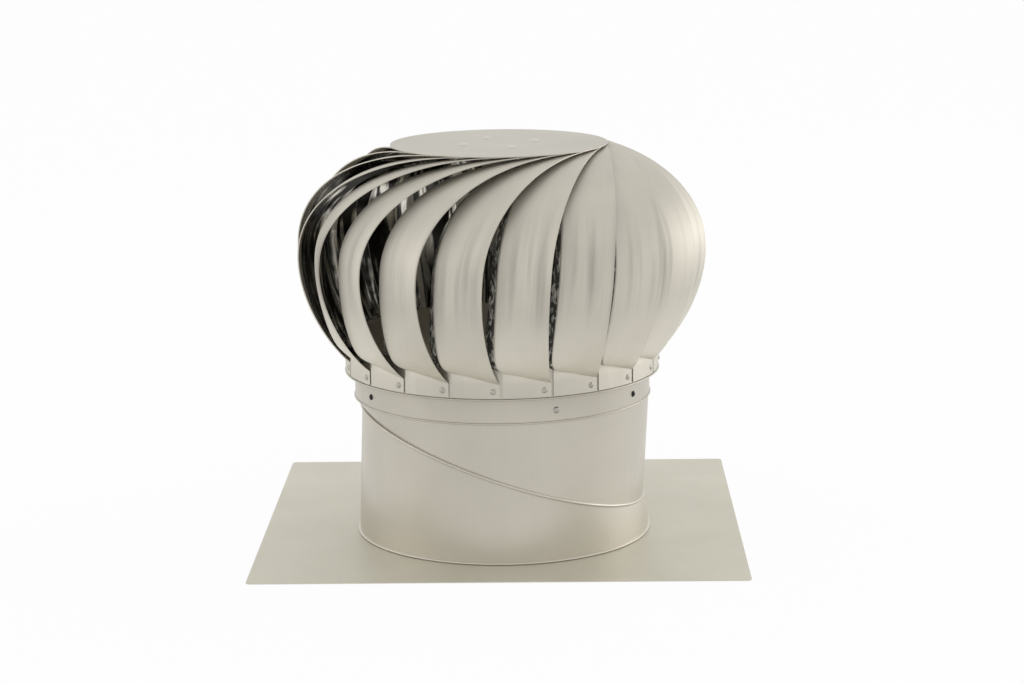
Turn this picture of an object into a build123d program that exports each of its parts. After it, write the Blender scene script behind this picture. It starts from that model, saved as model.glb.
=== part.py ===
from build123d import *
import os
from math import acos, asin, cos, degrees, hypot, pi, radians, sin, sqrt

# Turbine roof vent. Millimetres, +Z up. The origin is on the throat's axis at the underside of the base plate.
# Angles are in degrees, anticlockwise from above, with 0 along +X and the front at 270.

# Base plate, measured from the throat's axis to each edge
plate_left = 247.5
plate_right = 243.5
plate_front = 206.0
plate_back = 266.0
plate_corner = 5.0
plate_sheet = 0.8

# Throat: two mitred necks that swivel on each other at a slanted seam
neck_r = 150.0
neck_sheet = 0.8
foot_height = 12.0
foot_bead = 2.2
foot_bead_height = 2.4
swivel_tilt = 19.0
swivel_drop = 7.2
swivel_flare = 3.0
swivel_hook = 2.3
swivel_gap = 0.3
upper_step = 1.0
upper_start = 142.0
upper_top = 168.0

# Collar sleeve, which slips over the upper neck and stands up inside the head
collar_bottom = 143.4
collar_top = 207.0
collar_sheet = 0.8
collar_bead = 1.7
collar_bead_height = 2.0
collar_rim = 2.0
collar_rim_height = 2.4
slip_gap = 0.1

# Spider, its bolts and the screws that hold the collar to the neck
arm_count = 3
arm_phase = 91.0
arm_width = 22.0
arm_sheet = 3.0
arm_level = 147.0
arm_tab_height = 17.0
spider_hub_r = 24.0
bolt_level = 156.0
bolt_r = 2.0
bolt_head_r = 3.2
bolt_head_height = 1.9
bolt_length = 9.5
bolt_nut_flats = 7.0
bolt_nut_height = 3.2
screw_phase = 51.5
screw_r = 1.9
screw_head_r = 3.4
screw_head_height = 1.8
screw_length = 10.0
hole_gap = 0.1

# Shaft and bearings
shaft_r = 6.0
shaft_bottom = 130.0
shaft_drop = 6.0
shaft_chamfer = 1.0
nut_flats = 19.0
nut_height = 10.0
washer_r = 12.0
washer_sheet = 2.0
bearing_r = 14.0
bearing_width = 8.0
bearing_inner_r = 8.6
bearing_land_r = 11.8
bearing_shield = 0.8
bearing_shield_inset = 0.4
bearing_gap = 0.3
bearing_drop = 25.0
bearing_span = 76.0
spacer_r = 8.2
seat_gap = 0.01
thread_gap = 0.02

# Head: twenty bent strips whose free edges lie on a body of revolution, widest at the waist
vane_count = 20
vane_phase = 14.3
vane_twist = 2.2
vane_sheet = 0.6
vane_foot_gap = 2.3
vane_waist_width = 64.0
vane_top_width = 30.0
vane_top_drop = 3.0
vane_crease = 13.0
vane_lip = 12.0
vane_lip_bend = 48.0
vane_lip_power = 0.7
vane_lean_top = 108.5
vane_lean_foot = 70.0
vane_steps = 6
waist_r = 209.5
waist_height = 293.5
crown_height = 401.0
crown_power = 2.15
foot_height_power = 1.83
foot_radius_power = 1.17
heel_height = 186.0
heel_rise = 16.0
heel_power = 12
taper_power = 8
tab_bottom = 172.2

# Lower band of the head, with the tabs of the vanes riveted outside
band_gap = 5.5
band_sheet = 0.8
band_bottom = 169.4
band_top = 203.0
band_hem = 1.8
band_hem_height = 2.2
rivet_r = 1.6
rivet_head_r = 3.0
rivet_head_height = 1.4
rivet_tail_r = 2.4
rivet_tail_height = 1.0
rivet_level = 179.0
head_gap = 0.05

# Top plate and hub
top_r = 110.5
top_sheet = 0.8
top_gap = 0.05
hub_r = 17.5
hub_lip = 3.0
hub_waist_r = 12.5
hub_flange_r = 50.0
hub_flange_sheet = 2.0
hub_rivet_count = 4
hub_rivet_circle_r = 38.0
hub_rivet_phase = 20.0
hub_rivet_r = 2.0
hub_rivet_head_r = 4.5
hub_rivet_head_height = 2.0

# Radii and heights that follow from those above
swivel_r = neck_r + swivel_flare
swivel_height = upper_start - swivel_drop - swivel_r * sin(radians(swivel_tilt))
upper_r = neck_r + upper_step
collar_inner = upper_r + slip_gap
collar_r = collar_inner + collar_sheet
band_r = collar_r + collar_rim + band_gap + band_sheet
vane_foot_width = 2 * pi * band_r / vane_count - vane_foot_gap
shaft_top = crown_height - shaft_drop
upper_bearing_level = crown_height - bearing_drop
lower_bearing_level = upper_bearing_level - bearing_span
hub_bottom = lower_bearing_level - hub_lip


def polar(r, angle, z):
    """Point at radius r, angle in degrees and height z."""
    return Vector(r * cos(radians(angle)), r * sin(radians(angle)), z)


def turned(profile):
    """Solid of revolution about Z from (radius, height) corners."""
    points = [(r, 0, z) for r, z in profile]
    return revolve(make_face(Polyline(*points, close=True)), Axis.Z)


def around(piece, count, phase):
    """Copies of a piece made at angle 0, spread evenly about Z."""
    return [Rot(0, 0, phase + 360 / count * k) * piece for k in range(count)]


def radial_rod(r, inner, outer, z):
    """Rod along a radius at angle 0, from the inner to the outer distance."""
    return Plane(origin=(inner, 0, z), z_dir=(1, 0, 0)) * Cylinder(
        r, outer - inner, align=(Align.CENTER, Align.CENTER, Align.MIN)
    )


def dome(r, height):
    """Low dome head on the XY plane, a slice of a ball."""
    ball_r = (r**2 + height**2) / (2 * height)
    half = asin(r / ball_r) / 2
    crest = (ball_r * sin(half), 0, ball_r * cos(half) - ball_r + height)
    edge = ThreePointArc((r, 0, 0), crest, (0, 0, height))
    return revolve(make_face([edge, Polyline((0, 0, height), (0, 0, 0), (r, 0, 0))]), Axis.Z)


def hex_nut(flats, height, hole_r):
    """Plain hexagon nut standing on the XY plane."""
    body = extrude(RegularPolygon(flats / 2, 6, major_radius=False), height)
    return body - Pos(0, 0, height / 2) * Cylinder(hole_r, height)


# Swivel frame: its Z is the axis on which the upper neck turns, leaning towards +X
swivel = Plane(
    origin=(0, 0, swivel_height),
    x_dir=(0, 1, 0),
    z_dir=(sin(radians(swivel_tilt)), 0, cos(radians(swivel_tilt))),
)
flange_half = neck_sheet / 2
hook_inner = flange_half + swivel_gap
hook_outer = hook_inner + neck_sheet
flange_r = swivel_r + swivel_hook
hook_r = flange_r + swivel_gap + neck_sheet
return_r = swivel_r + neck_sheet + swivel_gap


def level_circle(r, z):
    """Circle about the throat's axis, starting at the same side as the swivel's circles."""
    return Plane(origin=(0, 0, z), x_dir=(0, 1, 0), z_dir=(0, 0, 1)) * Circle(r)


def swivel_circle(r, offset):
    """Circle about the swivel's axis, offset along that axis."""
    return swivel.offset(offset) * Circle(r)


def slanted_wall(level_r, level_z, offset):
    """Sheet wall from a level circle to a circle of the swivel."""
    outer = loft([level_circle(level_r, level_z), swivel_circle(swivel_r, offset)], ruled=True)
    inner = loft(
        [level_circle(level_r - neck_sheet, level_z), swivel_circle(swivel_r - neck_sheet, offset)], ruled=True
    )
    return outer - inner


def base_plate():
    """Flat flashing sheet with a round opening for the throat."""
    width = plate_left + plate_right
    depth = plate_front + plate_back
    sheet = Pos((plate_right - plate_left) / 2, (plate_back - plate_front) / 2) * RectangleRounded(
        width, depth, plate_corner
    )
    return extrude(sheet - Circle(neck_r + slip_gap), plate_sheet)


def neck_lower():
    """Round foot with a bead on the plate, a slanted wall and the flange that the upper neck hooks round."""
    wall_r = neck_r - neck_sheet
    foot = turned([
        (wall_r, 0),
        (neck_r, 0),
        (neck_r, plate_sheet),
        (neck_r + foot_bead, plate_sheet),
        (neck_r + foot_bead, plate_sheet + foot_bead_height - foot_bead / 2),
        (neck_r + foot_bead / 2, plate_sheet + foot_bead_height),
        (neck_r, plate_sheet + foot_bead_height),
        (neck_r, foot_height),
        (wall_r, foot_height),
    ])
    inside = swivel_r - neck_sheet
    flange = swivel * turned([
        (inside, -flange_half),
        (flange_r, -flange_half),
        (flange_r, flange_half),
        (inside, flange_half),
    ])
    return foot + slanted_wall(neck_r, foot_height, -flange_half) + flange


def neck_upper():
    """Slanted wall with a hooked bead at the swivel and a round spigot for the collar."""
    inside = swivel_r - neck_sheet
    hook = swivel * turned([
        (inside, hook_inner),
        (hook_r - neck_sheet, hook_inner),
        (hook_r - neck_sheet, -hook_inner),
        (return_r, -hook_inner),
        (return_r, -hook_outer),
        (hook_r - neck_sheet, -hook_outer),
        (hook_r, -hook_inner),
        (hook_r, hook_inner),
        (hook_r - neck_sheet, hook_outer),
        (inside, hook_outer),
    ])
    spigot = turned([
        (upper_r - neck_sheet, upper_start),
        (upper_r, upper_start),
        (upper_r, upper_top),
        (upper_r - neck_sheet, upper_top),
    ])
    wall = slanted_wall(upper_r, upper_start, hook_outer)
    return hook + wall + spigot - bolt_holes() - screw_holes()


def bolt_holes():
    """Cutters for the bolts of the spider's arms."""
    rod = radial_rod(bolt_r + hole_gap, upper_r - bolt_length, collar_r + bolt_head_height, bolt_level)
    return around(rod, arm_count, arm_phase)


def screw_holes():
    """Cutters for the collar's screws."""
    rod = radial_rod(screw_r + hole_gap, upper_r - screw_length, collar_r + screw_head_height, bolt_level)
    return around(rod, arm_count, screw_phase)


def throat_collar():
    """Sleeve with a rolled bead at its lower edge and a rolled rim at its upper edge."""
    bead_r = collar_r + collar_bead
    rim_r = collar_r + collar_rim
    sleeve = turned([
        (collar_inner, collar_bottom),
        (bead_r - collar_bead / 2, collar_bottom),
        (bead_r, collar_bottom + collar_bead_height / 2),
        (collar_r, collar_bottom + collar_bead_height),
        (collar_r, collar_top - collar_rim_height),
        (rim_r, collar_top - collar_rim_height / 2),
        (rim_r - collar_rim / 2, collar_top),
        (collar_inner, collar_top),
    ])
    return sleeve - bolt_holes() - screw_holes()


def spider():
    """Three-armed bracket that carries the shaft, with tabs bent up against the neck's wall."""
    outer = upper_r - neck_sheet - slip_gap
    tab_ring = turned([
        (outer - arm_sheet, arm_level),
        (outer, arm_level),
        (outer, arm_level + arm_tab_height),
        (outer - arm_sheet, arm_level + arm_tab_height),
    ])
    tab = tab_ring & (Pos(outer, 0, arm_level + arm_tab_height / 2) * Box(outer, arm_width, arm_tab_height))
    arm_reach = outer - arm_sheet / 2
    arm = Pos(arm_reach / 2, 0, arm_level + arm_sheet / 2) * Box(arm_reach, arm_width, arm_sheet)
    hub = Pos(0, 0, arm_level + arm_sheet / 2) * Cylinder(spider_hub_r, arm_sheet)
    arms = around(arm + tab, arm_count, arm_phase)
    bore = Pos(0, 0, arm_level + arm_sheet / 2) * Cylinder(shaft_r + hole_gap, arm_sheet)
    return hub + arms - bore - bolt_holes()


def arm_bolts():
    """Dome-headed bolts through the collar, the neck and the spider's tabs."""
    shank = radial_rod(bolt_r, upper_r - bolt_length, collar_r, bolt_level)
    head = Plane(origin=(collar_r, 0, bolt_level), z_dir=(1, 0, 0)) * dome(bolt_head_r, bolt_head_height)
    return around(shank + head, arm_count, arm_phase)


def arm_nuts():
    """Nuts on the bolts, inside the spider's tabs."""
    tab_inner = upper_r - neck_sheet - slip_gap - arm_sheet
    face = sqrt(tab_inner**2 - bolt_nut_flats**2 / 3)
    nut = Plane(origin=(face, 0, bolt_level), z_dir=(-1, 0, 0)) * hex_nut(
        bolt_nut_flats, bolt_nut_height, bolt_r + thread_gap
    )
    return around(nut, arm_count, arm_phase)


def collar_screws():
    """Sheet screws that hold the collar to the upper neck."""
    shank = radial_rod(screw_r, upper_r - screw_length, collar_r, bolt_level)
    head = Plane(origin=(collar_r, 0, bolt_level), z_dir=(1, 0, 0)) * dome(screw_head_r, screw_head_height)
    return around(shank + head, arm_count, screw_phase)


arm_top = arm_level + arm_sheet


def shaft():
    """Fixed upright rod."""
    return turned([
        (0, shaft_bottom),
        (shaft_r - shaft_chamfer, shaft_bottom),
        (shaft_r, shaft_bottom + shaft_chamfer),
        (shaft_r, shaft_top - shaft_chamfer),
        (shaft_r - shaft_chamfer, shaft_top),
        (0, shaft_top),
    ])


def shaft_nut(z):
    """Nut on the shaft, standing at height z."""
    return Pos(0, 0, z) * hex_nut(nut_flats, nut_height, shaft_r + thread_gap)


def washer(z):
    """Flat washer on the shaft, lying at height z."""
    bore = shaft_r + hole_gap
    return turned([(bore, z), (washer_r, z), (washer_r, z + washer_sheet), (bore, z + washer_sheet)])


def bearing_inner(z):
    """Inner ring of a ball bearing, tight on the shaft."""
    bore = shaft_r + seat_gap
    return turned([(bore, z), (bearing_inner_r, z), (bearing_inner_r, z + bearing_width), (bore, z + bearing_width)])


def bearing_outer(z):
    """Outer ring of a ball bearing with its two shields, set in from its ends."""
    lip_r = bearing_inner_r + bearing_gap
    top = z + bearing_width
    inset = bearing_shield_inset
    inside = bearing_shield_inset + bearing_shield
    return turned([
        (bearing_land_r, z),
        (bearing_r, z),
        (bearing_r, top),
        (bearing_land_r, top),
        (bearing_land_r, top - inset),
        (lip_r, top - inset),
        (lip_r, top - inside),
        (bearing_land_r, top - inside),
        (bearing_land_r, z + inside),
        (lip_r, z + inside),
        (lip_r, z + inset),
        (bearing_land_r, z + inset),
    ])


def bearing_spacer():
    """Tube on the shaft between the two inner rings."""
    bore = shaft_r + hole_gap
    low = lower_bearing_level + bearing_width
    return turned([(bore, low), (spacer_r, low), (spacer_r, upper_bearing_level), (bore, upper_bearing_level)])


plate_under = crown_height + top_gap


def hub():
    """Tube with two bearing seats and a flange under the top plate."""
    seat_r = bearing_r + seat_gap
    low_shoulder = lower_bearing_level + bearing_width
    return turned([
        (seat_r, hub_bottom),
        (hub_r, hub_bottom),
        (hub_r, plate_under - hub_flange_sheet),
        (hub_flange_r, plate_under - hub_flange_sheet),
        (hub_flange_r, plate_under),
        (seat_r, plate_under),
        (seat_r, upper_bearing_level),
        (hub_waist_r, upper_bearing_level),
        (hub_waist_r, low_shoulder),
        (seat_r, low_shoulder),
    ]) - hub_rivet_holes()


def hub_rivet_rod(r):
    """Rod through the hub's flange and the top plate."""
    return Pos(hub_rivet_circle_r, 0, plate_under - hub_flange_sheet) * Cylinder(
        r, hub_flange_sheet + top_sheet, align=(Align.CENTER, Align.CENTER, Align.MIN)
    )


def hub_rivet_holes():
    """Cutters for the hub's rivets."""
    return around(hub_rivet_rod(hub_rivet_r + hole_gap), hub_rivet_count, hub_rivet_phase)


def hub_rivets():
    """Dome rivets that hold the top plate to the hub."""
    head = Pos(hub_rivet_circle_r, 0, plate_under + top_sheet) * dome(hub_rivet_head_r, hub_rivet_head_height)
    return around(hub_rivet_rod(hub_rivet_r) + head, hub_rivet_count, hub_rivet_phase)


def top_plate():
    """Round cover sheet over the ends of the vanes."""
    disc = turned([
        (0, plate_under),
        (top_r, plate_under),
        (top_r, plate_under + top_sheet),
        (0, plate_under + top_sheet),
    ])
    return disc - hub_rivet_holes()


# Vane tabs lie on the band: each is folded into three flats, and the widest one touches it at the middle
tab_flat = vane_foot_width - vane_crease - vane_lip
tab_inner_r = (band_r + slip_gap) / cos(tab_flat / band_r / 2)
heel_r = tab_inner_r + vane_sheet
heel_bulge = vane_crease * (vane_foot_width - vane_crease) / (2 * heel_r)
heel_bend = degrees(asin(heel_bulge / vane_lip))
waist_half = sqrt(waist_r**2 - vane_lean_top**2)
waist_lean = (vane_lean_top + vane_lean_foot) / 2


def free_edge(turn):
    """Radius, angle and height of a vane's free edge. The turn runs from -90 at the heel over 0 at the waist to 90.

    Seen from above, each half of the edge is nearly a straight line that passes the axis at its lean distance.
    """
    rise = sin(radians(turn))
    reach = max(cos(radians(turn)), 0)
    if turn < 0:
        z = waist_height - (waist_height - heel_height) * (-rise) ** (2 / foot_height_power)
        r = heel_r + (waist_r - heel_r) * reach ** (2 / foot_radius_power)
        lean = vane_lean_foot
    else:
        z = waist_height + (crown_height - waist_height) * rise ** (2 / crown_power)
        r = hypot(vane_lean_top, waist_half * reach ** (2 / crown_power))
        lean = vane_lean_top
    return r, degrees(acos(lean / waist_r) - acos(min(lean / r, 1))) + vane_twist * rise, z


def strip_section(outside, inside):
    """Closed section of the strip from the corners of its two sides, both from the free edge to the lip's end."""
    return Wire.make_polygon(outside + inside[::-1], close=True)


def heel_section(z, rise):
    """Section of the tab, with its corners on the tab's circle, in a plane that rises towards its inner edge."""
    angle = free_edge(-90)[1]
    steps = [0, vane_crease, vane_foot_width - vane_lip, vane_foot_width]
    spots = [angle - degrees(step / heel_r) for step in steps]
    free = polar(heel_r, angle, z)
    chord = polar(heel_r, spots[-1], z) - free
    sides = []
    for r in (heel_r, heel_r - vane_sheet):
        level = [polar(r, spot, z) for spot in spots]
        sides.append([p + Vector(0, 0, rise * (p - free).dot(chord) / chord.dot(chord)) for p in level])
    return strip_section(*sides)


def blade_section(turn):
    """Section of the blade: it leans inwards from its free edge to a bent lip, and lies flat under the crown."""
    r, angle, z = free_edge(turn)
    free = polar(r, angle, z)
    rise = abs(sin(radians(turn)))
    reach = max(cos(radians(turn)), 0)
    bend = vane_lip_bend * reach**vane_lip_power
    if turn < 0:
        lean = waist_lean / waist_r + (vane_foot_width / 2 / heel_r - waist_lean / waist_r) * rise**2
        width = vane_waist_width + (vane_foot_width - vane_waist_width) * rise**heel_power
        lift = heel_rise * rise**heel_power
        bulge = heel_bulge
        bend = max(bend, heel_bend)
    else:
        lean = (waist_lean + (vane_lean_top - waist_lean) * rise**2) / r
        width = vane_waist_width + (vane_top_width - vane_waist_width) * rise**taper_power
        lift = -vane_top_drop * rise**taper_power
        bulge = heel_bulge * reach
    inwards = polar(-lean, angle, 0)
    backwards = polar(sqrt(max(1 - lean**2, 0)), angle - 90, 0)
    along = ((inwards + backwards) * width + Vector(0, 0, lift)).normalized()
    ahead = polar(*free_edge(min(turn + 1, 90))) - polar(*free_edge(max(turn - 1, -90)))
    out = ahead.cross(along).normalized()
    crease = free + along * vane_crease + out * bulge
    fold = free + along * (width - vane_lip) + out * bulge
    end = fold + (along * cos(radians(bend)) - out * sin(radians(bend))) * vane_lip
    outside = [free, crease, fold, end]
    return strip_section(outside, [point - out * vane_sheet for point in outside])


rivet_angle = free_edge(-90)[1] - degrees(asin(vane_crease / 2 / heel_r))
rivet_seat = sqrt(heel_r**2 - (vane_crease / 2) ** 2) + head_gap
rivet_tail_seat = sqrt((band_r - band_sheet) ** 2 - rivet_tail_r**2)


def rivet_holes():
    """Cutters for the rivets of the tabs."""
    rod = radial_rod(rivet_r + hole_gap, rivet_tail_seat - rivet_tail_height, heel_r + rivet_head_height, rivet_level)
    return around(rod, vane_count, rivet_angle)


def vane():
    """One vane: a riveted tab, then a strip bent over to the crown, where its end is cut along a radius."""
    tab = Solid.make_loft([heel_section(tab_bottom, 0), heel_section(heel_height, heel_rise)], ruled=True)
    turns = [90 * k / vane_steps for k in range(1 - vane_steps, vane_steps + 1)]
    blade = Solid.make_loft([heel_section(heel_height, heel_rise)] + [blade_section(turn) for turn in turns])
    faces = tab.faces().sort_by(Axis.Z)[:-1] + blade.faces().sort_by(Axis.Z)[1:]
    return Solid(Shell(faces)) - rivet_holes()[0]


def vane_rivets():
    """Rivets through the tabs and the band, with dome heads outside."""
    shank = radial_rod(rivet_r, rivet_tail_seat, rivet_seat, rivet_level)
    head = Plane(origin=(rivet_seat, 0, rivet_level), z_dir=(1, 0, 0)) * dome(rivet_head_r, rivet_head_height)
    tail = radial_rod(rivet_tail_r, rivet_tail_seat - rivet_tail_height, rivet_tail_seat, rivet_level)
    return around(shank + head + tail, vane_count, vane_phase + rivet_angle)


def lower_band():
    """Round band with a hem below, which carries the tabs of the vanes."""
    inner = band_r - band_sheet
    hem_r = band_r + band_hem
    ring = turned([
        (inner, band_bottom),
        (hem_r - band_hem / 2, band_bottom),
        (hem_r, band_bottom + band_hem_height / 2),
        (hem_r - band_hem / 2, band_bottom + band_hem_height),
        (band_r, band_bottom + band_hem_height),
        (band_r, band_top),
        (inner, band_top),
    ])
    return Rot(0, 0, vane_phase) * (ring - rivet_holes())


pieces = {
    "base_plate": base_plate(),
    "neck_lower": neck_lower(),
    "neck_upper": neck_upper(),
    "throat_collar": throat_collar(),
    "spider": spider(),
    "arm_bolts": arm_bolts(),
    "arm_nuts": arm_nuts(),
    "collar_screws": collar_screws(),
    "shaft": shaft(),
    "spider_washers": [washer(arm_level - washer_sheet), washer(arm_top)],
    "spider_nut_lower": shaft_nut(arm_level - washer_sheet - nut_height),
    "spider_nut_upper": shaft_nut(arm_top + washer_sheet),
    "bearing_stop_nut": shaft_nut(lower_bearing_level - nut_height),
    "lower_bearing_inner": bearing_inner(lower_bearing_level),
    "bearing_spacer": bearing_spacer(),
    "upper_bearing_inner": bearing_inner(upper_bearing_level),
    "shaft_lock_nut": shaft_nut(upper_bearing_level + bearing_width),
    "lower_bearing_outer": bearing_outer(lower_bearing_level),
    "upper_bearing_outer": bearing_outer(upper_bearing_level),
    "hub": hub(),
    "top_plate": top_plate(),
    "hub_rivets": hub_rivets(),
    "lower_band": lower_band(),
    "vane_rivets": vane_rivets(),
}
for k, copy in enumerate(around(vane(), vane_count, vane_phase)):
    pieces[f"vane_{k + 1:02d}"] = copy

os.makedirs("parts", exist_ok=True)
for name, piece in pieces.items():
    export_step(Compound(piece) if isinstance(piece, list) else piece, f"parts/{name}.step")
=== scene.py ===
import bpy
import numpy as np
from mathutils import Matrix


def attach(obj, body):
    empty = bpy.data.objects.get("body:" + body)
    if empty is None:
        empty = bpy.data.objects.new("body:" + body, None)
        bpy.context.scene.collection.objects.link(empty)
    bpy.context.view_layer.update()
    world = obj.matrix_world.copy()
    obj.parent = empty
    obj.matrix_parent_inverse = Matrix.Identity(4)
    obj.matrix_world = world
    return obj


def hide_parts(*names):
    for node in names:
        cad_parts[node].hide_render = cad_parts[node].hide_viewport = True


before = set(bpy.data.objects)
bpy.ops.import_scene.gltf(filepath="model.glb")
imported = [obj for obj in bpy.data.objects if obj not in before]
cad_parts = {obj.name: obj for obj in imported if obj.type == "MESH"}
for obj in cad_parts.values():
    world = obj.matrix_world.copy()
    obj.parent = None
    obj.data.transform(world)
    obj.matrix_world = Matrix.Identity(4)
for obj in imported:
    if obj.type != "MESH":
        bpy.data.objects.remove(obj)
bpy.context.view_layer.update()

# Base plate: a flat square of thin stainless sheet with a round opening for the throat.
# It is cut from rolled stock, so it has a fine grain along its width and lies a little wavy.
# The solid has the right shape already and only gets its finish here.
cloud_scale = 9.0
cloud_detail = 3.0
cloud_band = (0.35, 0.65)
fibre_detail = 4.0
fibre_band = (0.3, 0.7)
swell_scale = 14.0
grain_strength = 0.25
grain_depth = 0.00004
satin = 0.72
plate_tint = (0.63, 0.605, 0.512)
plate_shade = (0.595, 0.57, 0.48)
plate_gloss = (0.46, 0.56)
plate_satin = 0.6
across_grain = (14, 900, 900)
plate_swell = 0.0006


def add_node(tree, kind, values={}, wires={}, **settings):
    """Adds a shader node with its settings, the values of its sockets and the wires that lead to them."""
    node = tree.nodes.new(kind)
    for setting, value in settings.items():
        setattr(node, setting, value)
    for socket, value in values.items():
        node.inputs[socket].default_value = value
    for socket, source in wires.items():
        tree.links.new(source, node.inputs[socket])
    return node


def steel_sheet(name, tint, shade, gloss, grain, swell, coords="Object", metallic=satin):
    """Rolled stainless sheet: two tones in wide soft clouds, a fine grain and a slow swell of the surface.

    tint and shade are the tones, gloss the lowest and highest roughness, grain the stretch of the grain along
    each axis, and swell the depth of the slow waves in metres.
    """
    metal = bpy.data.materials.new(name)
    metal.use_nodes = True
    tree = metal.node_tree
    place = add_node(tree, "ShaderNodeTexCoord", name="place").outputs[coords]
    clouds = add_node(
        tree, "ShaderNodeTexNoise", {"Scale": cloud_scale, "Detail": cloud_detail}, {"Vector": place}, name="clouds"
    )
    tone = add_node(tree, "ShaderNodeValToRGB", {}, {"Fac": clouds.outputs["Fac"]}, name="tone")
    for k, colour in enumerate((shade, tint)):
        tone.color_ramp.elements[k].position = cloud_band[k]
        tone.color_ramp.elements[k].color = (*colour, 1)
    stretch = add_node(tree, "ShaderNodeMapping", {"Scale": grain}, {"Vector": place})
    fibre = add_node(
        tree, "ShaderNodeTexNoise", {"Scale": 1.0, "Detail": fibre_detail}, {"Vector": stretch.outputs["Vector"]}
    )
    rough = add_node(
        tree,
        "ShaderNodeMapRange",
        {"From Min": fibre_band[0], "From Max": fibre_band[1], "To Min": gloss[0], "To Max": gloss[1]},
        {"Value": fibre.outputs["Fac"]},
    )
    wave = add_node(tree, "ShaderNodeTexNoise", {"Scale": swell_scale, "Detail": 1.0}, {"Vector": place})
    slow = add_node(tree, "ShaderNodeBump", {"Distance": swell}, {"Height": wave.outputs["Fac"]})
    fine = add_node(
        tree,
        "ShaderNodeBump",
        {"Strength": grain_strength, "Distance": grain_depth},
        {"Height": fibre.outputs["Fac"], "Normal": slow.outputs["Normal"]},
    )
    bsdf = tree.nodes["Principled BSDF"]
    bsdf.inputs["Metallic"].default_value = metallic
    tree.links.new(tone.outputs["Color"], bsdf.inputs["Base Color"])
    tree.links.new(rough.outputs["Result"], bsdf.inputs["Roughness"])
    tree.links.new(fine.outputs["Normal"], bsdf.inputs["Normal"])
    return metal


def finish_nodes(metal, *names):
    """Gives solids of the frame their finish."""
    for name in names:
        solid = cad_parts[name]
        solid.data.materials.clear()
        solid.data.materials.append(metal)


plate_metal = steel_sheet(
    "plate_metal", plate_tint, plate_shade, plate_gloss, across_grain, plate_swell, metallic=plate_satin
)
finish_nodes(plate_metal, "base_plate")

# Lower neck: a sheet tube set into the plate, with a rolled bead where it meets the plate.
# Its top is cut on the slant, and a flange there runs in the hook of the upper neck.
# The lowest part of the sheet is painted paler: painted light that lifts the shade next to the plate.
foot_r = 0.150
foot_top = 0.012
foot_bead_level = 0.0020
foot_bead_out = 0.0022
foot_bead_width = 0.0024
swivel_r = 0.153
swivel_tilt = np.radians(19.0)
swivel_height = 0.084988
neck_sheet = 0.0008
flange_half = 0.0004
flange_bend = 0.0005
flange_out = 0.0012
level = 0.0
slanted = 1.0
ring_points = 256
bead_steps = 13
fold_angle = 20.0
neck_tint = (0.55, 0.515, 0.445)
neck_shade = (0.51, 0.477, 0.411)
rolled_gloss = (0.32, 0.42)
upright_grain = (260, 260, 6)
rolled_swell = 0.0005
foot_painted_light = (0.72, 0.68, 0.595)
foot_light_belt = [(0.0, 0.45), (0.03, 0.22), (0.09, 0.0)]


def neck_rings(profile):
    """Points of a wall that goes round the throat, one ring for each row of the profile.

    A row is (radius, height, slant). With slant 0 the ring is level at that height; with slant 1 it lies in the
    swivel's plane, and the height is measured along the swivel's axis from its centre.
    """
    radius, height, slant = (np.array(column)[:, None, None] for column in zip(*profile))
    turn = np.linspace(0, 2 * np.pi, ring_points, endpoint=False)[None, :, None]
    tilt = slant * swivel_tilt
    across = np.concatenate([-np.cos(tilt), 0 * tilt, np.sin(tilt)], axis=2)
    axis = np.concatenate([np.sin(tilt), 0 * tilt, np.cos(tilt)], axis=2)
    centre = slant * np.array([0, 0, swivel_height])
    return centre + height * axis + radius * (np.cos(turn) * np.array([0, 1, 0]) + np.sin(turn) * across)


def half_round(r, z, out, width, slant=level):
    """Rows of a rolled bead: half an ellipse that stands out from a wall of radius r, centred at height z."""
    turn = np.linspace(-np.pi / 2, np.pi / 2, bead_steps)
    return [(r + out * np.cos(t), z + width / 2 * np.sin(t), slant) for t in turn]


def sheet_mesh(name, points, metal, close_rows=True, close_columns=True, pattern=None, crease=fold_angle):
    """Makes a mesh from a grid of points and shades it smooth, with creases where the faces turn sharply.

    The grid's rows and columns join up end to end where they are closed. Where only the columns are closed, the
    first and last row are closed by faces between the two halves of the row. pattern holds a flat place per point.
    """
    rows, columns = points.shape[:2]
    index = np.arange(rows * columns).reshape(rows, columns)
    if close_rows:
        index = np.concatenate([index, index[:1]])
    if close_columns:
        index = np.concatenate([index, index[:, :1]], axis=1)
    quads = np.stack([index[:-1, :-1], index[:-1, 1:], index[1:, 1:], index[1:, :-1]], axis=-1).reshape(-1, 4)
    if close_columns and not close_rows:
        near = np.arange(columns // 2)
        far = columns - 1 - near
        first = np.stack([near[:-1], far[:-1], far[1:], near[1:]], axis=-1)
        quads = np.concatenate([quads, first, first[:, ::-1] + (rows - 1) * columns])
    mesh = bpy.data.meshes.new(name)
    mesh.from_pydata(points.reshape(-1, 3), [], quads)
    if pattern is not None:
        layer = mesh.uv_layers.new(name="along_strip")
        layer.data.foreach_set("uv", pattern.reshape(-1, 2)[quads.ravel()].ravel())
    mesh.materials.append(metal)
    mesh.shade_smooth()
    mesh.set_sharp_from_angle(angle=np.radians(crease))
    mesh.update()
    piece = bpy.data.objects.new(name, mesh)
    bpy.context.scene.collection.objects.link(piece)
    return piece


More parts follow.
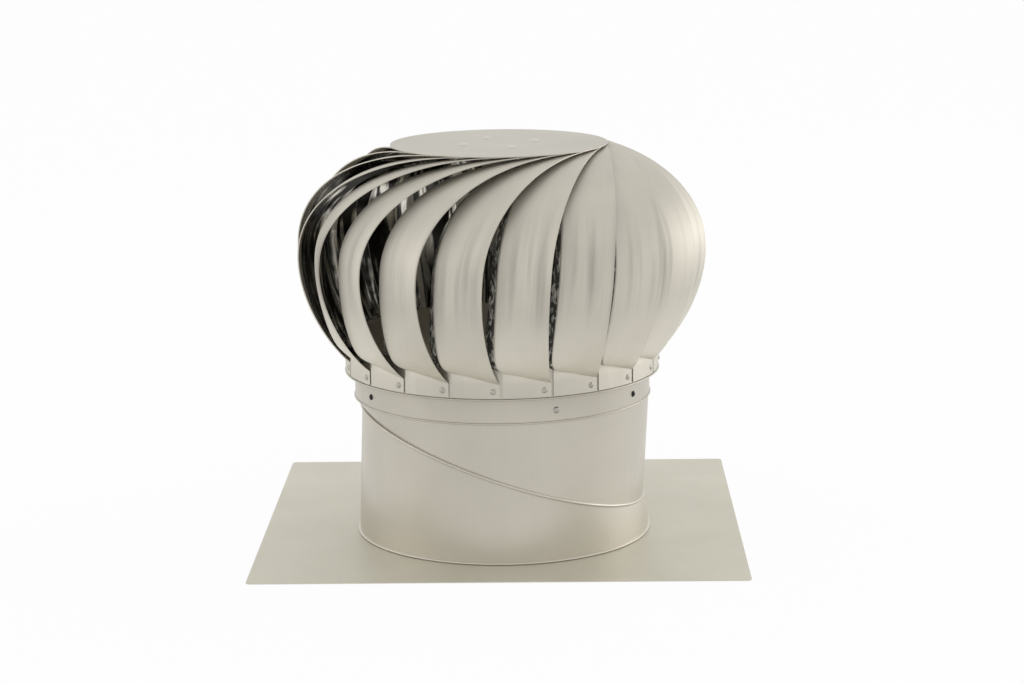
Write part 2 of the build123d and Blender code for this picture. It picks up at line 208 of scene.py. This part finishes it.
def painted_light_belt(metal, colour, stops):
    """Paints light into a metal's colour by height, blending it towards a paler colour. The stops are (height in
    metres, share of colour).
    """
    tree = metal.node_tree
    base = tree.nodes["Principled BSDF"].inputs["Base Color"]
    low, high = stops[0][0], stops[-1][0]
    split = add_node(tree, "ShaderNodeSeparateXYZ", {}, {"Vector": tree.nodes["place"].outputs["Object"]})
    height = add_node(
        tree, "ShaderNodeMapRange", {"From Min": low, "From Max": high}, {"Value": split.outputs["Z"]}
    )
    ramp = add_node(tree, "ShaderNodeValToRGB", {}, {"Fac": height.outputs["Result"]})
    for k, (z, share) in enumerate(stops):
        spot = (z - low) / (high - low)
        stop = ramp.color_ramp.elements[k] if k < 2 else ramp.color_ramp.elements.new(spot)
        stop.position = spot
        stop.color = (share, share, share, 1)
    blend = add_node(
        tree,
        "ShaderNodeMix",
        {"B": (*colour, 1)},
        {"Factor": ramp.outputs["Color"], "A": base.links[0].from_socket},
        data_type="RGBA",
    )
    tree.links.new(blend.outputs["Result"], base)


def fit_piece(piece, body, node):
    """Puts a finished piece on its body, in place of a solid, which it hides."""
    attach(piece, body)
    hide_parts(node)


lower_profile = [
    (foot_r, 0.0, level),
    *half_round(foot_r, foot_bead_level, foot_bead_out, foot_bead_width),
    (foot_r, foot_top, level),
    (swivel_r, -flange_half - flange_bend, slanted),
    (swivel_r + flange_bend, -flange_half, slanted),
    (swivel_r + flange_out, -flange_half, slanted),
    (swivel_r + flange_out, flange_half, slanted),
    (swivel_r - neck_sheet, flange_half, slanted),
    (foot_r - neck_sheet, foot_top, level),
    (foot_r - neck_sheet, 0.0, level),
]
neck_metal = steel_sheet("neck_metal", neck_tint, neck_shade, rolled_gloss, upright_grain, rolled_swell)
# Painted light: the neck's foot is blended towards a paler colour, to lift the shade next to the plate.
painted_light_belt(neck_metal, foot_painted_light, foot_light_belt)
lower_neck = sheet_mesh("lower_neck_wall", neck_rings(lower_profile), neck_metal)
fit_piece(lower_neck, "base", "neck_lower")

# Upper neck: the second mitred tube, hooked over the lower one's flange so that it can be turned to level the head.
# The hook shows as a fine rolled bead that runs round the throat on the slant.
upper_r = 0.151
upper_start = 0.142
upper_top = 0.168
hook_start = 0.0009
hook_out = 0.0022
hook_half = 0.0015
hook_gap = 0.0008
hook_room = 0.0015
upper_profile = [
    (swivel_r + hook_room, -hook_gap, slanted),
    (swivel_r + hook_start, -hook_gap, slanted),
    *half_round(swivel_r + hook_start, 0.0, hook_out - hook_start, 2 * hook_half, slanted),
    (swivel_r, hook_half, slanted),
    (upper_r, upper_start, level),
    (upper_r, upper_top, level),
    (upper_r - neck_sheet, upper_top, level),
    (upper_r - neck_sheet, upper_start, level),
    (swivel_r - neck_sheet, hook_gap, slanted),
    (swivel_r + hook_room, hook_gap, slanted),
]
upper_neck = sheet_mesh("upper_neck_wall", neck_rings(upper_profile), neck_metal)
fit_piece(upper_neck, "neck", "neck_upper")

# Collar: a rolled sleeve slipped over the upper neck and held by screws, with a rolled bead at each end.
# It stands up inside the head's band, so that rain can't blow in under the vanes.
collar_inner = 0.1511
collar_r = 0.1519
collar_bottom = 0.1434
collar_top = 0.2070
collar_bead_out = 0.0012
collar_bead_width = 0.0020
collar_rim_out = 0.0020
collar_rim_width = 0.0024
collar_tint = (0.535, 0.50, 0.432)
collar_shade = (0.495, 0.462, 0.398)
collar_profile = [
    (collar_inner, collar_bottom, level),
    *half_round(collar_r, collar_bottom + collar_bead_width / 2, collar_bead_out, collar_bead_width),
    *half_round(collar_r, collar_top - collar_rim_width / 2, collar_rim_out, collar_rim_width),
    (collar_inner, collar_top, level),
]
collar_metal = steel_sheet("collar_metal", collar_tint, collar_shade, rolled_gloss, upright_grain, rolled_swell)
collar = sheet_mesh("collar_sleeve", neck_rings(collar_profile), collar_metal)
fit_piece(collar, "neck", "throat_collar")

# Spider, shaft and bearings: a plated steel bracket across the throat carries a fixed rod,
# and two shielded ball bearings on the rod carry the head. All of them are seen only through the gaps.
plated_tint = (0.42, 0.42, 0.40)
plated_shade = (0.34, 0.34, 0.33)
turned_tint = (0.60, 0.59, 0.55)
turned_shade = (0.54, 0.53, 0.50)
plated_metal = steel_sheet("plated_metal", plated_tint, plated_shade, (0.38, 0.5), (300, 300, 300), 0.0002)
finish_nodes(
    plated_metal, "spider", "spider_washers", "spider_nut_lower", "spider_nut_upper", "bearing_stop_nut",
    "shaft_lock_nut", "arm_nuts", "hub", "bearing_spacer",
)
turned_metal = steel_sheet("turned_metal", turned_tint, turned_shade, (0.2, 0.3), (60, 60, 2500), 0.0001)
finish_nodes(
    turned_metal, "shaft", "lower_bearing_inner", "upper_bearing_inner", "lower_bearing_outer", "upper_bearing_outer"
)

# Bolts, screws and tab rivets: black dome-headed bolts hold the spider's arms,
# and grey steel screws and rivets hold the collar to the neck and the vanes to the band.
bolt_tint = (0.03, 0.03, 0.03)
bolt_shade = (0.02, 0.02, 0.02)
rivet_tint = (0.45, 0.43, 0.38)
rivet_shade = (0.33, 0.315, 0.28)
rivet_gloss = (0.24, 0.34)
rivet_grain = (500, 500, 500)
rivet_swell = 0.0001
black_metal = steel_sheet("black_metal", bolt_tint, bolt_shade, (0.45, 0.6), (700, 700, 700), 0.0001)
finish_nodes(black_metal, "arm_bolts")
rivet_metal = steel_sheet("rivet_metal", rivet_tint, rivet_shade, rivet_gloss, rivet_grain, rivet_swell)
finish_nodes(rivet_metal, "collar_screws", "vane_rivets")

# Lower band of the head: a rolled ring of the collar's sheet with a hem along its lower edge.
# It hangs outside the collar with air between them, and carries the tabs of the vanes.
band_r = 0.1602
band_inner = 0.1594
band_bottom = 0.1694
band_top = 0.2030
band_hem_out = 0.0018
band_hem_width = 0.0022
band_profile = [
    (band_inner, band_bottom, level),
    *half_round(band_r, band_bottom + band_hem_width / 2, band_hem_out, band_hem_width),
    (band_r, band_top, level),
    (band_inner, band_top, level),
]
band = sheet_mesh("head_band", neck_rings(band_profile), collar_metal)
fit_piece(band, "rotor", "lower_band")

# Vanes: twenty strips of polished sheet, each riveted to the band by its tab and bent over to the crown.
# Each strip leans inwards from its hemmed free edge to a lip that is bent inwards, and lies flat under the top plate.
# The side that faces in is painted dark as shade, with light patches of painted reflection, and the lip is painted in a
# speckle of light and shade.
vane_count = 20
vane_phase = np.radians(14.3)
vane_twist = np.radians(2.2)
vane_sheet = 0.0006
vane_foot_width = 0.048
vane_waist_width = 0.064
vane_top_width = 0.030
vane_top_drop = 0.003
vane_crease = 0.013
vane_lip = 0.012
vane_lip_bend = np.radians(48.0)
vane_lip_power = 0.7
vane_crown = 0.0007
vane_fold_angle = 40.0
crease_round = 0.0025
fold_round = 0.0018
hem_sheet = 0.0006
hem_width = 0.0042
hem_step = 0.0002
hem_columns = 10
lip_columns = 5
lip_start_row = 9
lean_top = 0.1085
lean_foot = 0.070
waist_r = 0.2095
waist_height = 0.2935
crown_height = 0.4010
crown_power = 2.15
foot_height_power = 1.83
foot_radius_power = 1.17
heel_height = 0.186
heel_rise = 0.016
heel_power = 12
taper_power = 8
tab_bottom = 0.1722
tab_slip = 0.0001
tab_flat = vane_foot_width - vane_crease - vane_lip
heel_r = (band_r + tab_slip) / np.cos(tab_flat / band_r / 2) + vane_sheet
heel_bulge = vane_crease * (vane_foot_width - vane_crease) / (2 * heel_r)
pattern_shift = np.array([0.2, 0.37])
vane_tint = (0.61, 0.577, 0.502)
vane_shade = (0.545, 0.514, 0.447)
vane_gloss = (0.5, 0.6)
vane_grain = (900, 10, 10)
vane_swell = 0.0004
# Painted reflection: long dark streaks in the strips' colour, standing in for reflections of the surroundings.
reflection_streak_colour = (0.20, 0.185, 0.155)
streak_stretch = (58, 3, 1)
streak_detail = 4.0
streak_band = (0.46, 0.7)
streak_depth = 0.66
streak_low = 0.225
streak_high = 0.375
# Painted light: the strips' heels are blended towards a paler colour, to lift the shade where the blades lean out and
# face down.
heel_painted_light = (0.80, 0.765, 0.665)
heel_light_belt = [(0.170, 0.0), (0.186, 0.15), (0.196, 0.75), (0.222, 0.4), (0.262, 0.0)]
skin_gloss = (0.1, 0.22)
skin_grain = (500, 30, 30)
skin_swell = 0.0016
skin_detail = 5.0
skin_band = (0.5, 0.62)
# Painted shade and painted reflection for the inner side of the strips.
inside_painted_reflection = (0.80, 0.77, 0.685)
inside_painted_shade = (0.03, 0.029, 0.026)
inside_spread = (85, 10, 1)
# Painted light and painted shade in a fine speckle for the lips, standing in for their crinkled reflections.
lip_painted_light = (0.90, 0.86, 0.77)
lip_painted_shade = (0.10, 0.095, 0.084)
lip_spread = (230, 90, 1)


def free_edge(turn):
    """Radius, angle and height of a vane's free edge, with the turn from -90 degrees at the heel to 90 at the crown.

    Height and radius follow powers of the turn's sine and cosine, one pair below the waist and one above it.
    Seen from above, each half of the edge is nearly a straight line that passes the axis at its lean distance.
    """
    rise = np.abs(np.sin(turn))
    reach = np.clip(np.cos(turn), 0, None)
    low = turn < 0
    z = np.where(
        low,
        waist_height - (waist_height - heel_height) * rise ** (2 / foot_height_power),
        waist_height + (crown_height - waist_height) * rise ** (2 / crown_power),
    )
    half = np.sqrt(waist_r**2 - lean_top**2)
    r = np.where(
        low,
        heel_r + (waist_r - heel_r) * reach ** (2 / foot_radius_power),
        np.hypot(lean_top, half * reach ** (2 / crown_power)),
    )
    lean = np.where(low, lean_foot, lean_top)
    angle = np.arccos(lean / waist_r) - np.arccos(np.clip(lean / r, -1, 1)) + vane_twist * np.sin(turn)
    return r, angle, z


def around(r, angle, z):
    """Points at those radii, angles and heights."""
    return np.stack(np.broadcast_arrays(r * np.cos(angle), r * np.sin(angle), z), axis=-1)


def unit(v):
    """Directions of length one."""
    return v / np.linalg.norm(v, axis=-1, keepdims=True)


def blade_corners(steps=64, nudge=0.01):
    """Rows of a blade's four outer corners, its outward direction and the cosine of its turn.

    The corners of a row are the free edge, the crease beside it, the fold of the lip and the lip's end. The row
    runs inwards and backwards from the free edge, by the sine and cosine of its lean.
    """
    turn = np.linspace(-np.pi / 2, np.pi / 2, steps + 1)[1:]
    r, angle, z = free_edge(turn)
    free = around(r, angle, z)
    rise = np.abs(np.sin(turn))
    reach = np.clip(np.cos(turn), 0, None)
    low = turn < 0
    lean_waist = (lean_top + lean_foot) / 2
    heel_lean = vane_foot_width / 2 / heel_r
    lean = np.where(
        low,
        lean_waist / waist_r + (heel_lean - lean_waist / waist_r) * rise**2,
        (lean_waist + (lean_top - lean_waist) * rise**2) / r,
    )
    lean = np.clip(lean, 0, 1)
    width = vane_waist_width + np.where(
        low,
        (vane_foot_width - vane_waist_width) * rise**heel_power,
        (vane_top_width - vane_waist_width) * rise**taper_power,
    )
    lift = np.where(low, heel_rise * rise**heel_power, -vane_top_drop * rise**taper_power)
    bulge = heel_bulge * np.where(low, 1, reach)
    bend = vane_lip_bend * reach**vane_lip_power
    bend = np.where(low, np.maximum(bend, np.arcsin(heel_bulge / vane_lip)), bend)
    ones = np.ones_like(r)
    inwards = -lean[:, None] * around(ones, angle, 0)
    backwards = np.sqrt(1 - lean[:, None] ** 2) * around(ones, angle - np.pi / 2, 0)
    along = unit((inwards + backwards) * width[:, None] + lift[:, None] * np.array([0, 0, 1]))
    ahead = around(*free_edge(np.minimum(turn + nudge, np.pi / 2))) - around(*free_edge(turn - nudge))
    out = unit(np.cross(ahead, along))
    crease = free + along * vane_crease + out * bulge[:, None]
    fold = free + along * (width - vane_lip)[:, None] + out * bulge[:, None]
    end = fold + vane_lip * (along * np.cos(bend)[:, None] - out * np.sin(bend)[:, None])
    return np.stack([free, crease, fold, end], axis=1), out, reach


def tab_corners(steps=7):
    """Rows of the tab's four outer corners on the tab's circle, in planes that tilt up towards the blade's heel."""
    angle = free_edge(np.array(-np.pi / 2))[1]
    spots = angle - np.array([0, vane_crease, vane_foot_width - vane_lip, vane_foot_width]) / heel_r
    flat = around(heel_r, spots, 0.0)
    chord = flat[-1] - flat[0]
    climb = (flat - flat[0]) @ chord / (chord @ chord)
    share = np.linspace(0, 1, steps)[:, None]
    corners = np.broadcast_to(flat, (steps, 4, 3)).copy()
    corners[..., 2] = tab_bottom + share * (heel_height - tab_bottom) + share * heel_rise * climb[None, :]
    out = np.broadcast_to(unit(around(1.0, np.array(spots.mean()), 0.0)), (steps, 3))
    return corners, out, np.zeros(steps)


def stretch_rows(start, stop, shares):
    """Points on straight lines, at those shares of the way from each start to its stop."""
    return start[:, None] + (stop - start)[:, None] * shares[None, :, None]


def rounded_rows(before, corner, after, size, shares):
    """Points on parabolas that round each corner, from the size before it to the size after it."""
    a, c = (corner - before * size)[:, None], (corner + after * size)[:, None]
    t = shares[None, :, None]
    return (1 - t) ** 2 * a + 2 * t * (1 - t) * corner[:, None] + t**2 * c


def vane_surface():
    """Grid of the strip's points, row by row along it, with a closed section in each row, and its flat pattern.

    The outer side runs through the corners, with each inner corner rounded by a short parabola, and the flat
    between crease and fold is crowned a little. The inner side lies the sheet's thickness behind it, and twice
    that behind the hem at the free edge.
    """
    corners, out, reach = (np.concatenate(pair) for pair in zip(tab_corners(), blade_corners()))
    free, crease, fold, end = (corners[:, k] for k in range(4))
    first, main, last = unit(crease - free), unit(fold - crease), unit(end - fold)
    bow = np.linspace(0, 1, 12)
    flat = stretch_rows(crease + main * crease_round, fold - main * fold_round, bow)
    flat = flat + (vane_crown * reach)[:, None, None] * (4 * bow * (1 - bow))[None, :, None] * out[:, None]
    face = np.concatenate([
        stretch_rows(free, crease - first * crease_round, np.array([0, 0.12, 0.3, 0.42, 0.5, 0.8])),
        rounded_rows(first, crease, main, crease_round, np.linspace(0, 1, 5)[:-1]),
        flat,
        rounded_rows(main, fold, last, fold_round, np.linspace(0, 1, 6)[1:]),
        stretch_rows(fold + last * fold_round, end, np.linspace(0, 1, 5)[1:]),
    ], axis=1)
    steps = np.linalg.norm(np.diff(face, axis=1), axis=-1)
    gone = np.concatenate([0 * face[:, :1, 0], np.cumsum(steps, axis=1)], axis=1)
    hem = 1 / (1 + np.exp((gone - hem_width) / hem_step))
    thick = vane_sheet + hem_sheet * hem * (reach**0.5)[:, None]
    back = face - out[:, None] * thick[..., None]
    run = np.concatenate([[0], np.cumsum(np.linalg.norm(np.diff(free, axis=0), axis=-1))])
    section = np.concatenate([back, face[:, ::-1]], axis=1)
    pattern = np.stack(np.broadcast_arrays(np.concatenate([gone, gone[:, ::-1]], axis=1), run[:, None]), axis=-1)
    return section, pattern, face.shape[1]


def turned_by(points, angle):
    """Points turned about the throat's axis."""
    c, s = np.cos(angle), np.sin(angle)
    return points @ np.array([[c, s, 0], [-s, c, 0], [0, 0, 1]])


def painted_reflection_streaks(metal):
    """Darkens a strip's colour in long soft streaks between two heights: painted dark reflections of the surroundings.
    """
    tree = metal.node_tree
    place = tree.nodes["place"]
    middle = (streak_low + streak_high) / 2
    height = add_node(tree, "ShaderNodeSeparateXYZ", {}, {"Vector": place.outputs["Object"]}).outputs["Z"]
    rise, fall = (
        add_node(
            tree,
            "ShaderNodeMapRange",
            {"From Min": start, "From Max": middle},
            {"Value": height},
            interpolation_type="SMOOTHSTEP",
        ).outputs["Result"]
        for start in (streak_low, streak_high)
    )
    stretch = add_node(tree, "ShaderNodeMapping", {"Scale": streak_stretch}, {"Vector": place.outputs["UV"]})
    reflection_noise = add_node(
        tree, "ShaderNodeTexNoise", {"Scale": 1.0, "Detail": streak_detail}, {"Vector": stretch.outputs["Vector"]}
    )
    mark = add_node(
        tree,
        "ShaderNodeMapRange",
        {"From Min": streak_band[0], "From Max": streak_band[1], "To Max": streak_depth},
        {"Value": reflection_noise.outputs["Fac"]},
    )
    belt = add_node(tree, "ShaderNodeMath", {}, {0: rise, 1: fall}, operation="MULTIPLY")
    streak = add_node(
        tree, "ShaderNodeMath", {}, {0: belt.outputs["Value"], 1: mark.outputs["Result"]}, operation="MULTIPLY"
    )
    darken = add_node(
        tree,
        "ShaderNodeMix",
        {"B": (*reflection_streak_colour, 1)},
        {"Factor": streak.outputs["Value"], "A": tree.nodes["tone"].outputs["Color"]},
        data_type="RGBA",
    )
    tree.links.new(darken.outputs["Result"], tree.nodes["Principled BSDF"].inputs["Base Color"])


def painted_light_and_shade_skin(name, light, dark, spread, metallic):
    """Painted light and shade: dark patches of painted shade and torn light patches of painted reflection, stretched
    over the strip's flat pattern.
    """
    metal = steel_sheet(name, light, dark, skin_gloss, skin_grain, skin_swell, "UV", metallic)
    tree = metal.node_tree
    along = add_node(tree, "ShaderNodeMapping", {"Scale": spread}, {"Vector": tree.nodes["place"].outputs["UV"]})
    patches = tree.nodes["clouds"]
    for socket, value in {"Scale": 1.0, "Detail": skin_detail, "Distortion": 1.0}.items():
        patches.inputs[socket].default_value = value
    tree.links.new(along.outputs["Vector"], patches.inputs["Vector"])
    for k, position in enumerate(skin_band):
        tree.nodes["tone"].color_ramp.elements[k].position = position
    return metal


vane_metal = steel_sheet("vane_metal", vane_tint, vane_shade, vane_gloss, vane_grain, vane_swell, "UV")
# Painted reflection: dark streaks across the middle of the strips.
painted_reflection_streaks(vane_metal)
# Painted light on the strips' heels, lifting the shade where they face down.
painted_light_belt(vane_metal, heel_painted_light, heel_light_belt)
# The inside faces get painted shade with light patches of painted reflection.
vane_inside_painted_shade = painted_light_and_shade_skin("vane_inside_painted_shade", inside_painted_reflection, inside_painted_shade, inside_spread, 0.9)
# The lips get a speckle of painted light and shade.
vane_lip_painted_speckle = painted_light_and_shade_skin("vane_lip_painted_speckle", lip_painted_light, lip_painted_shade, lip_spread, 0.3)
vane_section, vane_pattern, side_columns = vane_surface()
for k in range(vane_count):
    strip = turned_by(vane_section, vane_phase + 2 * np.pi * k / vane_count)
    pattern = vane_pattern + pattern_shift * k
    vane = sheet_mesh(
        f"vane_strip_{k + 1:02d}", strip, vane_metal, close_rows=False, pattern=pattern, crease=vane_fold_angle
    )
    vane.data.materials.append(vane_inside_painted_shade)
    vane.data.materials.append(vane_lip_painted_speckle)
    rows, columns = strip.shape[:2]
    order = np.arange(len(vane.data.polygons))
    column = np.where(order < (rows - 1) * columns, order % columns, columns)
    inward = (column >= hem_columns) & (column < side_columns - 1)
    lip = (column >= side_columns) & (column < side_columns + lip_columns) & (order >= lip_start_row * columns)
    vane.data.polygons.foreach_set("material_index", (inward + 2 * lip).astype(np.int32))
    fit_piece(vane, "rotor", f"vane_{k + 1:02d}")

# Top plate: a round cover sheet over the ends of the vanes, with the same rolled grain as the base plate.
# Four bright dome rivets fix it to the hub's flange. Both solids have the right shape already.
top_tint = (0.50, 0.472, 0.40)
top_shade = (0.45, 0.424, 0.36)
top_gloss = (0.34, 0.44)
crown_rivet_tint = (0.66, 0.63, 0.55)
crown_rivet_shade = (0.58, 0.555, 0.485)
top_metal = steel_sheet("top_metal", top_tint, top_shade, top_gloss, across_grain, plate_swell)
finish_nodes(top_metal, "top_plate")
crown_rivet_metal = steel_sheet(
    "crown_rivet_metal", crown_rivet_tint, crown_rivet_shade, rivet_gloss, rivet_grain, rivet_swell
)
finish_nodes(crown_rivet_metal, "hub_rivets")

# Stage: a pale painted floor that glows white to the camera and to polished metal, inside a white surround.
# A soft lamp stands on the right, a weaker one on the left, and the surround lights the rest.
floor_colour = (0.86, 0.86, 0.86, 1)
floor_gloss = 0.9
floor_glow = 0.93
floor_reach = 18.0
floor_level = -0.0006
surround_light = (0.9, 0.9, 0.9, 1)
surround_white = (1, 1, 1, 1)


def either(tree, first, second):
    """The larger of two shares."""
    return add_node(tree, "ShaderNodeMath", {}, {0: first, 1: second}, operation="MAXIMUM").outputs["Value"]


def soft_lamp(name, power, size, place, aim):
    """A square soft lamp at a place, turned to face its aim."""
    lamp = bpy.data.lights.new(name, "AREA")
    lamp.energy = power
    lamp.size = size
    holder = bpy.data.objects.new(name, lamp)
    holder.location = place
    look = np.array(aim, float) - np.array(place, float)
    flat = np.hypot(look[0], look[1])
    holder.rotation_euler = (np.arctan2(flat, -look[2]), 0, np.arctan2(look[1], look[0]) - np.pi / 2)
    bpy.context.scene.collection.objects.link(holder)


floor_paint = bpy.data.materials.new("floor_paint")
floor_paint.use_nodes = True
tree = floor_paint.node_tree
paint = tree.nodes["Principled BSDF"]
paint.inputs["Base Color"].default_value = floor_colour
paint.inputs["Roughness"].default_value = floor_gloss
rays = add_node(tree, "ShaderNodeLightPath").outputs
seen = either(tree, rays["Is Camera Ray"], rays["Is Glossy Ray"])
share = add_node(tree, "ShaderNodeMath", {1: floor_glow}, {0: seen}, operation="MULTIPLY")
glow = add_node(tree, "ShaderNodeEmission")
blend = add_node(
    tree,
    "ShaderNodeMixShader",
    {},
    {0: share.outputs["Value"], 1: paint.outputs["BSDF"], 2: glow.outputs["Emission"]},
)
tree.links.new(blend.outputs["Shader"], tree.nodes["Material Output"].inputs["Surface"])
edge = np.array([-floor_reach, floor_reach])
floor_grid = np.stack(np.broadcast_arrays(edge[None, :], edge[:, None], floor_level), axis=-1)
floor = sheet_mesh("floor", floor_grid, floor_paint, close_rows=False, close_columns=False)

world = bpy.data.worlds.new("surround")
bpy.context.scene.world = world
world.use_nodes = True
tree = world.node_tree
sky = tree.nodes["Background"]
sky.inputs["Color"].default_value = surround_light
white = add_node(tree, "ShaderNodeBackground", {"Color": surround_white})
rays = add_node(tree, "ShaderNodeLightPath").outputs
seen = either(tree, either(tree, rays["Is Camera Ray"], rays["Is Transmission Ray"]), rays["Is Glossy Ray"])
pick = add_node(
    tree, "ShaderNodeMixShader", {}, {0: seen, 1: sky.outputs["Background"], 2: white.outputs["Background"]}
)
tree.links.new(pick.outputs["Shader"], tree.nodes["World Output"].inputs["Surface"])

soft_lamp("lamp_right", 35, 2.4, (2.7, 0.9, 0.4), (0, 0, 0.2))
soft_lamp("lamp_left", 11, 2.4, (-2.7, -0.3, 0.7), (0, 0, 0.2))

# Camera: stands in front of the object and a little above it, at the photograph's angle, with no shift.
# It was fitted to the plate's corners, the throat's foot and seam, the band and the top plate.
camera = bpy.data.cameras.new("camera")
camera.sensor_fit = "HORIZONTAL"
camera.sensor_width = 36.0
camera.lens = 90.09
viewer = bpy.data.objects.new("camera", camera)
pitch, yaw, roll = np.radians([11.745, -1.03, -0.731])
stand = np.array([0.05707, -2.58633, 0.73332])
forward = np.array([np.sin(yaw) * np.cos(pitch), np.cos(yaw) * np.cos(pitch), -np.sin(pitch)])
flat_right = np.array([np.cos(yaw), -np.sin(yaw), 0])
upward = np.cross(flat_right, forward)
right = np.cos(roll) * flat_right + np.sin(roll) * upward
above = -np.sin(roll) * flat_right + np.cos(roll) * upward
place = np.eye(4)
place[:3] = np.stack([right, above, -forward, stand], axis=1)
viewer.matrix_world = Matrix(place.tolist())
bpy.context.scene.collection.objects.link(viewer)
bpy.context.scene.camera = viewer
bpy.context.scene.view_settings.view_transform = "Standard"
